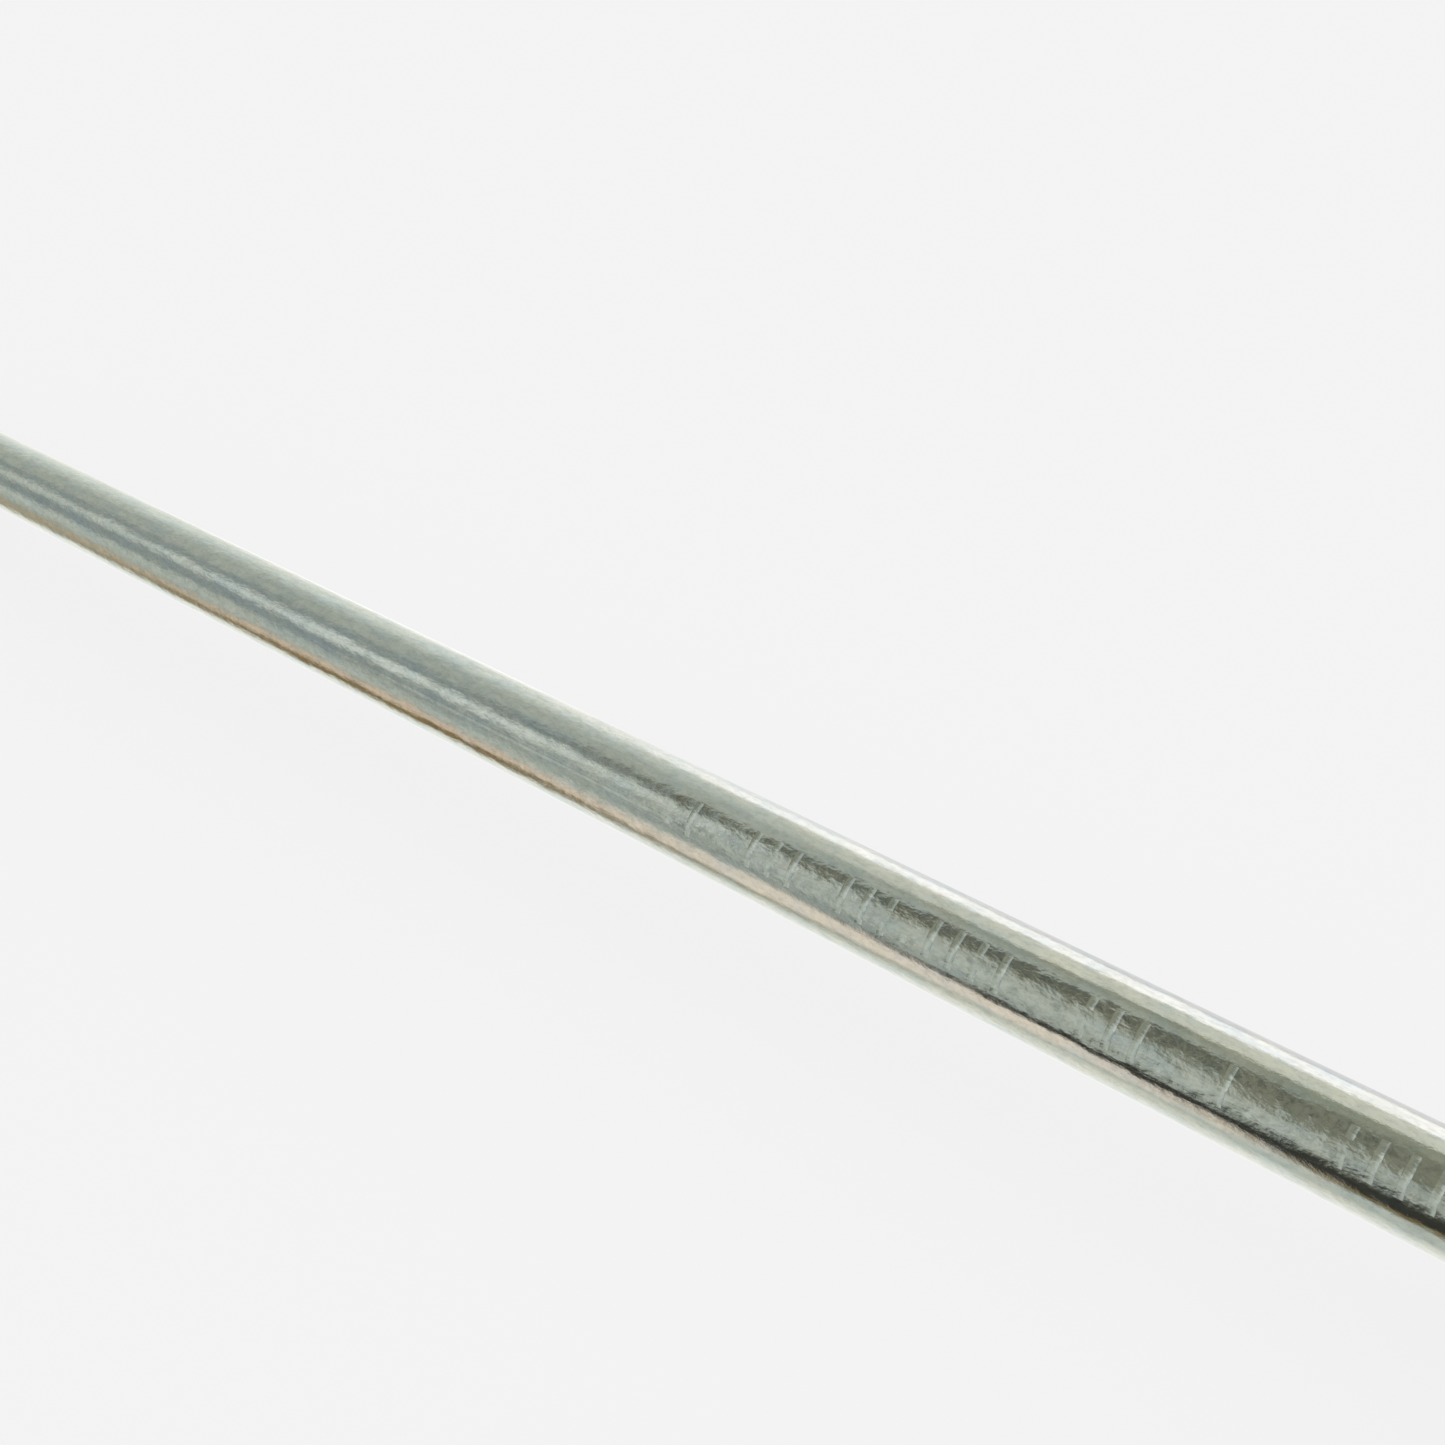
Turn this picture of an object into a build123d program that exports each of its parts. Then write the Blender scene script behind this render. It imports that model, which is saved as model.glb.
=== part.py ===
"""Inoculating loop in a screw-chuck needle holder.

The tool lies along X with its wire loop towards -X and the end of its grip at +X.
It rests on the lowest flat of its hexagonal grip, and the origin is at the bottom
centre of its bounding box. All sizes are in millimetres.
"""

from build123d import *
import os

# --- driving dimensions: lengths along the tool, from the loop to the grip's end ---
wire_reach = 60.0
chuck_length = 19.0
shaft_exposed = 100.0
ferrule_length = 10.0
fibre_thickness = 1.0
grip_length = 100.0
end_cap_length = 8.0

# --- cross sections ---
grip_across_flats = 10.0
shaft_radius = 2.0
tang_radius = 1.75
spigot_radius = 1.5
ferrule_radius = 4.8
running_gap = 0.05

# --- loop wire ---
wire_radius = 0.25
loop_inner_radius = 2.0
neck_length = 2.1
neck_radius = 0.75
wire_inside_chuck = 14.4

# --- stations, worked out from the lengths above ---
axis_height = grip_across_flats / 2
total_length = (
    wire_reach + chuck_length + shaft_exposed + ferrule_length
    + fibre_thickness + grip_length + end_cap_length
)
tip_x = -total_length / 2
nose_x = tip_x + wire_reach
chuck_rear_x = nose_x + chuck_length
ferrule_x = chuck_rear_x + shaft_exposed
fibre_x = ferrule_x + ferrule_length
grip_x = fibre_x + fibre_thickness
grip_rear_x = grip_x + grip_length
rear_x = grip_rear_x + end_cap_length

# The tool's centre line, and the upright plane through it on which profiles are drawn:
# its x runs along the tool and its y is the radius.
tool_axis = Axis((0, 0, axis_height), (1, 0, 0))
profile_plane = Plane(origin=(0, 0, axis_height), x_dir=(1, 0, 0), z_dir=(0, -1, 0))


def across(x):
    """The plane square to the tool at station x, facing the grip's end."""
    return Plane(origin=(x, 0, axis_height), x_dir=(0, 1, 0), z_dir=(1, 0, 0))


def finish(piece, node):
    """Label a finished piece and write it as its own STEP file."""
    piece.part.label = node
    export_step(piece.part, f"parts/{node}.step")


os.makedirs("parts", exist_ok=True)

# --- wire loop: a straight stem, a closed ring and the short winding at its neck ---
ring_radius = loop_inner_radius + wire_radius
ring_centre_x = tip_x + ring_radius + wire_radius
stem_start_x = ring_centre_x + ring_radius
stem_end_x = nose_x + wire_inside_chuck
ring_plane = Plane(origin=(ring_centre_x, 0, axis_height), x_dir=(1, 0, 0), z_dir=(0, -1, 0))

with BuildPart() as wire_loop:
    with BuildSketch(across(stem_start_x)):
        Circle(wire_radius)
    extrude(amount=stem_end_x - stem_start_x)
    with BuildSketch(across(stem_start_x)):
        Circle(neck_radius)
    extrude(amount=neck_length)
    with BuildSketch(ring_plane):
        with Locations((ring_radius, 0)):
            Circle(wire_radius)
    revolve(axis=Axis((ring_centre_x, 0, axis_height), (0, 0, 1)))
finish(wire_loop, "wire_loop")

# --- chuck: stations counted back from its nose ---
cap_length = 13.0
cap_radius = 3.5
cap_nose_radius = 1.6
cap_taper_length = 4.5
cap_mouth_radius = 0.8
cap_mouth_length = 0.8
cap_cone_end = 2.6
cap_cone_radius = 1.7
cap_groove_radius = 1.9
cap_groove_end = 3.9
cap_lip_end = 4.4
neck_thread_radius = 2.5
cap_chamfer = 0.3

collet_radius = 1.6
collet_start = 0.95
collet_end = 12.0
collet_tip_radius = 0.75
collet_cone_end = 2.5
collet_rim_radius = 1.8
collet_rim = (3.0, 3.6)
collet_seat_start = 11.0
collet_tail_radius = 1.0
collet_bore_radius = wire_radius + 0.02
jaw_slot_width = 0.3
jaw_slot_end = 9.0
jaw_count = 4

body_front = 4.7
collar_start = 13.3
collar_radius = 3.2
collar_across_flats = 5.5
flats_start = 14.3
flats_end = 18.0
body_seat_start = 11.1
body_seat_end = 12.3
body_seat_radius = 1.05
wire_way_radius = 0.6
spigot_start = 14.6
pin_station = 16.5
pin_radius = 0.5
pin_half_length = 3.1

# The cap's outside tapers to the nose. Inside are the mouth for the wire, the cone that
# closes the jaws, the groove that carries the collet with the cap, and the thread's bore.
with BuildPart() as chuck_cap:
    with BuildSketch(profile_plane):
        with BuildLine():
            Polyline(
                (nose_x, cap_mouth_radius),
                (nose_x, cap_nose_radius),
                (nose_x + cap_taper_length, cap_radius),
                (nose_x + cap_length - cap_chamfer, cap_radius),
                (nose_x + cap_length, cap_radius - cap_chamfer),
                (nose_x + cap_length, neck_thread_radius + running_gap),
                (nose_x + cap_lip_end, neck_thread_radius + running_gap),
                (nose_x + cap_lip_end, collet_radius + running_gap),
                (nose_x + cap_groove_end, collet_radius + running_gap),
                (nose_x + cap_groove_end, cap_groove_radius),
                (nose_x + cap_cone_end, cap_groove_radius),
                (nose_x + cap_cone_end, cap_cone_radius),
                (nose_x + cap_mouth_length, cap_mouth_radius),
                close=True,
            )
        make_face()
    revolve(axis=tool_axis)
finish(chuck_cap, "chuck_cap")

# The collet is split into jaws by crossed slots, and has a rim that the cap's groove holds.
with BuildPart() as collet:
    with BuildSketch(profile_plane):
        with BuildLine():
            Polyline(
                (nose_x + collet_start, collet_bore_radius),
                (nose_x + collet_start, collet_tip_radius),
                (nose_x + collet_cone_end, collet_radius),
                (nose_x + collet_rim[0], collet_radius),
                (nose_x + collet_rim[0], collet_rim_radius),
                (nose_x + collet_rim[1], collet_rim_radius),
                (nose_x + collet_rim[1], collet_radius),
                (nose_x + collet_seat_start, collet_radius),
                (nose_x + collet_end, collet_tail_radius),
                (nose_x + collet_end, collet_bore_radius),
                close=True,
            )
        make_face()
    revolve(axis=tool_axis)
    with BuildSketch(across(nose_x)):
        with PolarLocations(0, jaw_count // 2, angular_range=180):
            Rectangle(2 * cap_radius, jaw_slot_width)
    extrude(amount=jaw_slot_end, mode=Mode.SUBTRACT)
finish(collet, "collet")

# The body has the threaded neck, the collet's tapered seat, a collar with two spanner
# flats, and at the back the hole for the shaft's spigot and its cross pin.
with BuildPart() as chuck_body:
    with BuildSketch(profile_plane):
        with BuildLine():
            Polyline(
                (nose_x + body_front, collet_radius + running_gap),
                (nose_x + body_front, neck_thread_radius - cap_chamfer),
                (nose_x + body_front + cap_chamfer, neck_thread_radius),
                (nose_x + collar_start, neck_thread_radius),
                (nose_x + collar_start, collar_radius - cap_chamfer),
                (nose_x + collar_start + cap_chamfer, collar_radius),
                (chuck_rear_x - cap_chamfer, collar_radius),
                (chuck_rear_x, collar_radius - cap_chamfer),
                (chuck_rear_x, spigot_radius),
                (nose_x + spigot_start, spigot_radius),
                (nose_x + spigot_start, wire_way_radius),
                (nose_x + body_seat_end, wire_way_radius),
                (nose_x + body_seat_end, body_seat_radius),
                (nose_x + body_seat_start, collet_radius + running_gap),
                close=True,
            )
        make_face()
    revolve(axis=tool_axis)
    with BuildSketch(across(nose_x + flats_start)):
        Circle(collar_radius + 1)
        Rectangle(2 * collar_radius + 2, collar_across_flats, mode=Mode.SUBTRACT)
    extrude(amount=flats_end - flats_start, mode=Mode.SUBTRACT)
    with BuildSketch(Plane.XZ.offset(-pin_half_length - 1)):
        with Locations((nose_x + pin_station, axis_height)):
            Circle(pin_radius)
    extrude(amount=2 * pin_half_length + 2, mode=Mode.SUBTRACT)
finish(chuck_body, "chuck_body")

with BuildPart() as chuck_pin:
    with BuildSketch(Plane.XZ.offset(-pin_half_length)):
        with Locations((nose_x + pin_station, axis_height)):
            Circle(pin_radius)
    extrude(amount=2 * pin_half_length)
    chamfer(chuck_pin.edges().filter_by(GeomType.CIRCLE), length=0.1)
finish(chuck_pin, "chuck_pin")

# --- shaft: spigot, polished rod, shoulder inside the ferrule, tang and rear thread ---
shoulder_x = ferrule_x + 0.7 * ferrule_length
counterbore_depth = 9.0
counterbore_radius = 3.5
seat_x = grip_rear_x - counterbore_depth
tang_thread_radius = 1.5
tang_thread_length = 5.5

with BuildPart() as shaft:
    with BuildSketch(profile_plane):
        with BuildLine():
            Polyline(
                (nose_x + spigot_start, 0),
                (nose_x + spigot_start, spigot_radius),
                (chuck_rear_x, spigot_radius),
                (chuck_rear_x, shaft_radius),
                (shoulder_x, shaft_radius),
                (shoulder_x, tang_radius),
                (seat_x - 0.5, tang_radius),
                (seat_x - 0.5, tang_thread_radius),
                (seat_x + tang_thread_length, tang_thread_radius),
                (seat_x + tang_thread_length, 0),
                close=True,
            )
        make_face()
    revolve(axis=tool_axis)
    with BuildSketch(Plane.XZ.offset(-pin_half_length)):
        with Locations((nose_x + pin_station, axis_height)):
            Circle(pin_radius)
    extrude(amount=2 * pin_half_length, mode=Mode.SUBTRACT)
finish(shaft, "shaft")

# --- front ferrule: a flared metal cap between the rod and the grip ---
ferrule_mouth_radius = 2.9
ferrule_flare_end = 0.65 * ferrule_length
ferrule_groove_depth = 0.35
ferrule_groove = (7.6, 8.4)

with BuildPart() as front_ferrule:
    with BuildSketch(profile_plane):
        with BuildLine():
            rim = Line((ferrule_x, shaft_radius), (ferrule_x, ferrule_mouth_radius))
            flare = Spline(
                rim @ 1,
                (ferrule_x + ferrule_flare_end, ferrule_radius),
                tangents=((1, 0.15), (1, 0)),
            )
            Polyline(
                flare @ 1,
                (ferrule_x + ferrule_groove[0], ferrule_radius),
                (ferrule_x + ferrule_groove[0], ferrule_radius - ferrule_groove_depth),
                (ferrule_x + ferrule_groove[1], ferrule_radius - ferrule_groove_depth),
                (ferrule_x + ferrule_groove[1], ferrule_radius),
                (fibre_x, ferrule_radius),
                (fibre_x, tang_radius),
                (shoulder_x, tang_radius),
                (shoulder_x, shaft_radius),
                rim @ 0,
            )
        make_face()
    revolve(axis=tool_axis)
finish(front_ferrule, "front_ferrule")

# --- fibre washer between the ferrule and the grip ---
with BuildPart() as front_washer:
    with BuildSketch(across(fibre_x)):
        Circle(ferrule_radius)
        Circle(tang_radius + running_gap, mode=Mode.SUBTRACT)
    extrude(amount=fibre_thickness)
finish(front_washer, "front_washer")

# --- grip sleeve: hexagonal, coned at both ends, with finger grooves behind its front ---
end_cone_length = 1.6
end_cone_radius = 4.75
finger_groove_count = 6
finger_groove_pitch = 4.0
finger_groove_width = 1.6
finger_groove_depth = 0.7
first_groove_x = grip_x + 9.0
grip_corner_radius = grip_across_flats / 3 ** 0.5

with BuildPart() as grip_sleeve:
    with BuildSketch(across(grip_x)):
        RegularPolygon(grip_across_flats / 2, 6, major_radius=False)
    extrude(amount=grip_length)
    with BuildSketch(profile_plane):
        with BuildLine():
            Polyline(
                (grip_x, 0),
                (grip_x, end_cone_radius),
                (grip_x + end_cone_length, grip_corner_radius),
                (grip_rear_x - end_cone_length, grip_corner_radius),
                (grip_rear_x, end_cone_radius),
                (grip_rear_x, 0),
                close=True,
            )
        make_face()
    revolve(axis=tool_axis, mode=Mode.INTERSECT)
    with BuildSketch(profile_plane):
        for number in range(finger_groove_count):
            with Locations((first_groove_x + number * finger_groove_pitch, grip_corner_radius)):
                Ellipse(finger_groove_width / 2, finger_groove_depth + grip_corner_radius - axis_height)
    revolve(axis=tool_axis, mode=Mode.SUBTRACT)
    with BuildSketch(across(grip_x)):
        Circle(tang_radius + running_gap)
    extrude(amount=grip_length, mode=Mode.SUBTRACT)
    with BuildSketch(across(seat_x)):
        Circle(counterbore_radius)
    extrude(amount=counterbore_depth, mode=Mode.SUBTRACT)
finish(grip_sleeve, "grip_sleeve")

# --- fastening inside the rear counterbore: flat washer, split spring washer and nut ---
flat_washer_radius = 3.3
flat_washer_thickness = 0.5
spring_washer_radius = 2.8
spring_washer_thickness = 0.8
spring_washer_split = 0.5
nut_across_flats = 5.5
nut_height = 2.4
nut_chamfer_radius = 2.75
thread_hole_radius = tang_thread_radius + 0.02

with BuildPart() as rear_washer:
    with BuildSketch(across(seat_x)):
        Circle(flat_washer_radius)
        Circle(tang_thread_radius + running_gap, mode=Mode.SUBTRACT)
    extrude(amount=flat_washer_thickness)
finish(rear_washer, "rear_washer")

spring_x = seat_x + flat_washer_thickness
with BuildPart() as spring_washer:
    with BuildSketch(across(spring_x)):
        Circle(spring_washer_radius)
        Circle(tang_thread_radius + running_gap, mode=Mode.SUBTRACT)
        with Locations((0, spring_washer_radius)):
            Rectangle(spring_washer_split, 2 * spring_washer_radius, mode=Mode.SUBTRACT)
    extrude(amount=spring_washer_thickness)
finish(spring_washer, "spring_washer")

nut_x = spring_x + spring_washer_thickness
nut_corner_radius = nut_across_flats / 3 ** 0.5
nut_cone = nut_corner_radius - nut_chamfer_radius
with BuildPart() as tang_nut:
    with BuildSketch(across(nut_x)):
        RegularPolygon(nut_across_flats / 2, 6, major_radius=False)
    extrude(amount=nut_height)
    with BuildSketch(profile_plane):
        with BuildLine():
            Polyline(
                (nut_x, 0),
                (nut_x, nut_chamfer_radius),
                (nut_x + nut_cone / 2, nut_corner_radius),
                (nut_x + nut_height - nut_cone / 2, nut_corner_radius),
                (nut_x + nut_height, nut_chamfer_radius),
                (nut_x + nut_height, 0),
                close=True,
            )
        make_face()
    revolve(axis=tool_axis, mode=Mode.INTERSECT)
    with BuildSketch(across(nut_x)):
        Circle(thread_hole_radius)
    extrude(amount=nut_height, mode=Mode.SUBTRACT)
finish(tang_nut, "tang_nut")

# --- end cap: a plug pressed into the counterbore and a domed head ---
plug_length = 3.0
plug_chamfer = 0.4
head_chamfer = 0.3
head_straight_end = 5.5
dome_land_radius = 3.4

with BuildPart() as end_cap:
    with BuildSketch(profile_plane):
        with BuildLine():
            front = Polyline(
                (rear_x, 0),
                (grip_rear_x - plug_length, 0),
                (grip_rear_x - plug_length, counterbore_radius - plug_chamfer),
                (grip_rear_x - plug_length + plug_chamfer, counterbore_radius),
                (grip_rear_x, counterbore_radius),
                (grip_rear_x, ferrule_radius - head_chamfer),
                (grip_rear_x + head_chamfer, ferrule_radius),
                (grip_rear_x + head_straight_end, ferrule_radius),
            )
            dome = Spline(
                front @ 1,
                (rear_x, dome_land_radius / 2),
                tangents=((1, 0), (0, -1)),
            )
            Line(dome @ 1, front @ 0)
        make_face()
    revolve(axis=tool_axis)
finish(end_cap, "end_cap")
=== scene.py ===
import math

import bpy
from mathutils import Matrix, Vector


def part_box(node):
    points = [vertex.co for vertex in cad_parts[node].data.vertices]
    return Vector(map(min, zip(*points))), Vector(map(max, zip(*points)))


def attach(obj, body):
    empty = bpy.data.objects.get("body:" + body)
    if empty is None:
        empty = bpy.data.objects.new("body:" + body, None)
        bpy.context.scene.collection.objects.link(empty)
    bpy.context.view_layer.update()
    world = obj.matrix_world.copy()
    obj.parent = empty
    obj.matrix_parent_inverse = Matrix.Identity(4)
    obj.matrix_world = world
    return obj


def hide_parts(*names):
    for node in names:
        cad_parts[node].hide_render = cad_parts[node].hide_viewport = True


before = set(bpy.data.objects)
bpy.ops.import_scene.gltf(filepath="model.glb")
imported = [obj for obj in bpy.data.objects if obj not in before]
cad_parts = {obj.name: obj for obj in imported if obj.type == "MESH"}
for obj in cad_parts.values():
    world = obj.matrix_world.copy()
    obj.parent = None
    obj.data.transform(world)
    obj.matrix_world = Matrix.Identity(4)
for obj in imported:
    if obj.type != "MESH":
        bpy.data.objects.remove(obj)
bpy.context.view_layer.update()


# --- Rod ---------------------------------------------------------------------------------
# A drawn steel bar, ground and polished along its length. Its front end is turned down to a
# spigot for the chuck, its back end to a tang with a thread for the nut. A short run of plain
# strokes and dimples is stamped round its front side, behind the middle of the bare part.

MM = 0.001


def turned(name, outline, facets=96, hollow=False):
    """A lathe-turned piece from a disc, drawn out from one (station, radius) to the next.
    The outline of a hollow piece starts at its bore and comes back through it."""
    bpy.ops.object.select_all(action="DESELECT")
    station, radius = outline[0]
    bpy.ops.mesh.primitive_circle_add(
        vertices=facets, radius=radius, fill_type="NOTHING" if hollow else "NGON",
        location=(station, 0, axis_height), rotation=(0, math.pi / 2, 0),
    )
    piece = bpy.context.object
    piece.name = name
    bpy.ops.object.transform_apply(location=True, rotation=True, scale=True)
    bpy.ops.object.mode_set(mode="EDIT")
    bpy.ops.mesh.select_all(action="SELECT")
    for next_station, next_radius in outline[1:] + (outline[:1] if hollow else []):
        bpy.ops.mesh.extrude_region_move(
            TRANSFORM_OT_translate={"value": (next_station - station, 0, 0)}
        )
        grow = next_radius / radius
        bpy.ops.transform.resize(
            value=(1, grow, grow), center_override=(next_station, 0, axis_height)
        )
        station, radius = next_station, next_radius
    bpy.ops.mesh.select_all(action="SELECT")
    bpy.ops.mesh.remove_doubles(threshold=1e-7)
    bpy.ops.mesh.normals_make_consistent(inside=False)
    bpy.ops.object.mode_set(mode="OBJECT")
    return piece


def pick(piece):
    """Makes a piece the only one selected, and the active one."""
    bpy.ops.object.select_all(action="DESELECT")
    piece.select_set(True)
    bpy.context.view_layer.objects.active = piece


def modify(piece, kind, **settings):
    """Adds a modifier with its settings and applies it."""
    pick(piece)
    modifier = piece.modifiers.new(kind.title(), kind)
    for key, value in settings.items():
        setattr(modifier, key, value)
    bpy.ops.object.modifier_apply(modifier=modifier.name)


def cut(piece, cutter, operation="DIFFERENCE"):
    """Cuts a closed piece with another closed one, which is used up. The exact solver at
    times loses part of a piece, so it isn't used."""
    modify(piece, "BOOLEAN", object=cutter, operation=operation, solver="MANIFOLD")
    bpy.data.objects.remove(cutter)


def joined(name, parts):
    """One object from several."""
    bpy.ops.object.select_all(action="DESELECT")
    for part in parts:
        part.select_set(True)
    bpy.context.view_layer.objects.active = parts[0]
    bpy.ops.object.join()
    parts[0].name = name
    return parts[0]


def cut_thread(piece, start, end, crest):
    """Turns the tool's V thread into a piece, from one station to another."""
    tooth_radius = 0.56 * pitch
    steps_each_turn = 48
    bpy.ops.object.select_all(action="DESELECT")
    bpy.ops.mesh.primitive_circle_add(
        vertices=3, radius=tooth_radius, fill_type="NOTHING",
        location=(0, 0, crest), rotation=(-math.pi / 2, 0, 0),
    )
    groove = bpy.context.object
    bpy.ops.object.transform_apply(location=True, rotation=True, scale=True)
    modify(
        groove, "SCREW", axis="X", screw_offset=pitch,
        iterations=round((end - start) / pitch),
        steps=steps_each_turn, render_steps=steps_each_turn,
    )
    bpy.ops.object.mode_set(mode="EDIT")
    bpy.ops.mesh.select_all(action="SELECT")
    bpy.ops.mesh.fill_holes(sides=4)
    bpy.ops.transform.translate(value=(start, 0, axis_height))
    bpy.ops.mesh.select_all(action="SELECT")
    bpy.ops.mesh.normals_make_consistent(inside=False)
    bpy.ops.object.mode_set(mode="OBJECT")
    cut(piece, groove)


def smooth(piece, degrees=35):
    pick(piece)
    bpy.ops.object.shade_smooth_by_angle(angle=math.radians(degrees))


def node(tree, kind, inputs, **settings):
    """One shader node. An input's value is a number, a colour or another node's socket."""
    made = tree.nodes.new("ShaderNode" + kind)
    for key, value in settings.items():
        setattr(made, key, value)
    for key, value in inputs.items():
        if isinstance(value, bpy.types.NodeSocket):
            tree.links.new(value, made.inputs[key])
        else:
            made.inputs[key].default_value = value
    return made


def maths(tree, operation, *values):
    return node(tree, "Math", dict(enumerate(values)), operation=operation).outputs[0]


def mix(tree, factor, first, second):
    """A colour between two others, each of which is a colour or a socket."""
    first, second = (
        value if isinstance(value, bpy.types.NodeSocket) else (*value, 1)
        for value in (first, second)
    )
    return node(tree, "Mix", {0: factor, 6: first, 7: second}, data_type="RGBA").outputs[2]


def new_material(name, metallic, roughness, colour=(0.8, 0.8, 0.8)):
    """A material with its shader's plain values set, and the piece's own coordinates."""
    made = bpy.data.materials.new(name)
    made.use_nodes = True
    tree = made.node_tree
    shader = tree.nodes["Principled BSDF"]
    shader.inputs["Metallic"].default_value = metallic
    shader.inputs["Roughness"].default_value = roughness
    shader.inputs["Base Color"].default_value = (*colour, 1)
    place = tree.nodes.new("ShaderNodeTexCoord").outputs["Object"]
    return made, tree, shader, place


def noise(tree, place, along, around, detail=4.0, roughness=0.55):
    """Noise with its own number of grains per metre along the tool and across it."""
    fitted = node(tree, "Mapping", {"Vector": place, "Scale": (along, around, around)})
    return node(
        tree, "TexNoise",
        {"Vector": fitted.outputs[0], "Scale": 1.0, "Detail": detail, "Roughness": roughness},
    ).outputs["Fac"]


def limits(tree, value, low, high, least=0.0, most=1.0):
    """A value's rise from low to high, spread from least to most."""
    return node(
        tree, "MapRange",
        {"Value": value, "From Min": low, "From Max": high, "To Min": least, "To Max": most},
    ).outputs[0]


def bump(tree, shader, height, distance):
    """Adds a bump to the shader, over any that it has."""
    given = {"Height": height, "Distance": distance, "Strength": 1.0}
    before = shader.inputs["Normal"]
    if before.is_linked:
        given["Normal"] = before.links[0].from_socket
    tree.links.new(node(tree, "Bump", given).outputs[0], before)


def wear(piece, material):
    piece.data.materials.clear()
    piece.data.materials.append(material)


def lathe_place(tree, place):
    """Coordinates that turn with the lathe, along the tool and out from its centre line, and
    the distance out alone."""
    centred = node(tree, "Mapping", {"Vector": place, "Location": (0, 0, -axis_height)})
    apart = node(tree, "SeparateXYZ", {0: centred.outputs[0]}).outputs
    out = maths(tree, "SQRT", maths(
        tree, "ADD", maths(tree, "MULTIPLY", apart[1], apart[1]),
        maths(tree, "MULTIPLY", apart[2], apart[2]),
    ))
    return node(tree, "CombineXYZ", {0: apart[0], 1: out}).outputs[0], out


shaft_low, shaft_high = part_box("shaft")
axis_height = (shaft_low.z + shaft_high.z) / 2
rod_radius = (shaft_high.z - shaft_low.z) / 2
rod_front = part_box("chuck_body")[1].x
length_in_ferrule = 7.0 * MM
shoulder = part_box("front_ferrule")[0].x + length_in_ferrule
tang_radius = 1.75 * MM
small_radius = 1.5 * MM
thread_before_washer = 0.5 * MM
thread_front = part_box("rear_washer")[0].x - thread_before_washer
thread_lead_in, thread_run_out = 0.8 * MM, 0.3 * MM
pitch = 0.5 * MM
edge_break = 0.12 * MM

rod = turned("rod", [
    (shaft_low.x, small_radius - edge_break),
    (shaft_low.x + edge_break, small_radius),
    (rod_front, small_radius),
    (rod_front, rod_radius - edge_break),
    (rod_front + edge_break, rod_radius),
    (shoulder - edge_break, rod_radius),
    (shoulder, rod_radius - edge_break),
    (shoulder, tang_radius),
    (thread_front, tang_radius),
    (thread_front, small_radius),
    (shaft_high.x - edge_break, small_radius),
    (shaft_high.x, small_radius - edge_break),
], facets=256)

# The stamps: groups of full strokes "|", split strokes ":" and dimples ".", by the station of
# each group's first one in millimetres, cut by round-nosed tools.
stamp_depth = 0.024 * MM
stroke_radius = 0.6 * MM
stroke_lift = stroke_radius - stamp_depth
dimple_radius = 1.1 * MM
dimple_lift = dimple_radius - stamp_depth
stamp_height = 1.5 * MM
stamp_middle = math.radians(38.5)
stamp_groups = {
    -8.6: ".|", -4.3: "|:|", 0.4: "||:.||:|", 11.4: ":||.", 16.9: "|.", 21.3: ":|||.",
}
stamp_pitch = 1.05 * MM
stamp_half = math.asin(stamp_height / 2 / rod_radius)
split_half = 0.35 * stamp_half
dimple_drop = 0.6 * stamp_half


def stroke(station, low, high):
    """A round-nosed cutter swept round the rod between two angles above its front side."""
    bpy.ops.object.select_all(action="DESELECT")
    reach = rod_radius + stroke_lift
    bpy.ops.mesh.primitive_circle_add(
        vertices=64, radius=stroke_radius, fill_type="NGON",
        location=(station, -reach * math.cos(low), axis_height + reach * math.sin(low)),
        rotation=(math.pi - low, 0, 0),
    )
    cutter = bpy.context.object
    bpy.ops.object.transform_apply(location=True, rotation=True, scale=True)
    bpy.ops.object.mode_set(mode="EDIT")
    bpy.ops.mesh.select_all(action="SELECT")
    bpy.ops.mesh.spin(
        steps=14, angle=high - low, center=(station, 0, axis_height), axis=(1, 0, 0)
    )
    bpy.ops.mesh.select_all(action="SELECT")
    bpy.ops.mesh.normals_make_consistent(inside=False)
    bpy.ops.object.mode_set(mode="OBJECT")
    return cutter


def dimple(station, angle):
    bpy.ops.object.select_all(action="DESELECT")
    bpy.ops.mesh.primitive_uv_sphere_add(
        segments=48, ring_count=32, radius=dimple_radius,
        location=(station, -(rod_radius + dimple_lift) * math.cos(angle),
                  axis_height + (rod_radius + dimple_lift) * math.sin(angle)),
    )
    cutter = bpy.context.object
    bpy.ops.object.transform_apply(location=True, rotation=True, scale=True)
    return cutter


for first in (0, 1):
    cutters = []
    for start, marks in stamp_groups.items():
        for number in range(first, len(marks), 2):
            station = start * MM + number * stamp_pitch
            if marks[number] == "|":
                cutters.append(stroke(
                    station, stamp_middle - stamp_half, stamp_middle + stamp_half
                ))
            elif marks[number] == ":":
                cutters.append(stroke(
                    station, stamp_middle - stamp_half, stamp_middle - split_half
                ))
                cutters.append(stroke(
                    station, stamp_middle + split_half, stamp_middle + stamp_half
                ))
            else:
                cutters.append(dimple(station, stamp_middle - dimple_drop))
    cut(rod, joined("stamps", cutters))
cut_thread(rod, thread_front + thread_lead_in, shaft_high.x + thread_run_out, small_radius)
smooth(rod, 12)

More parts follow.
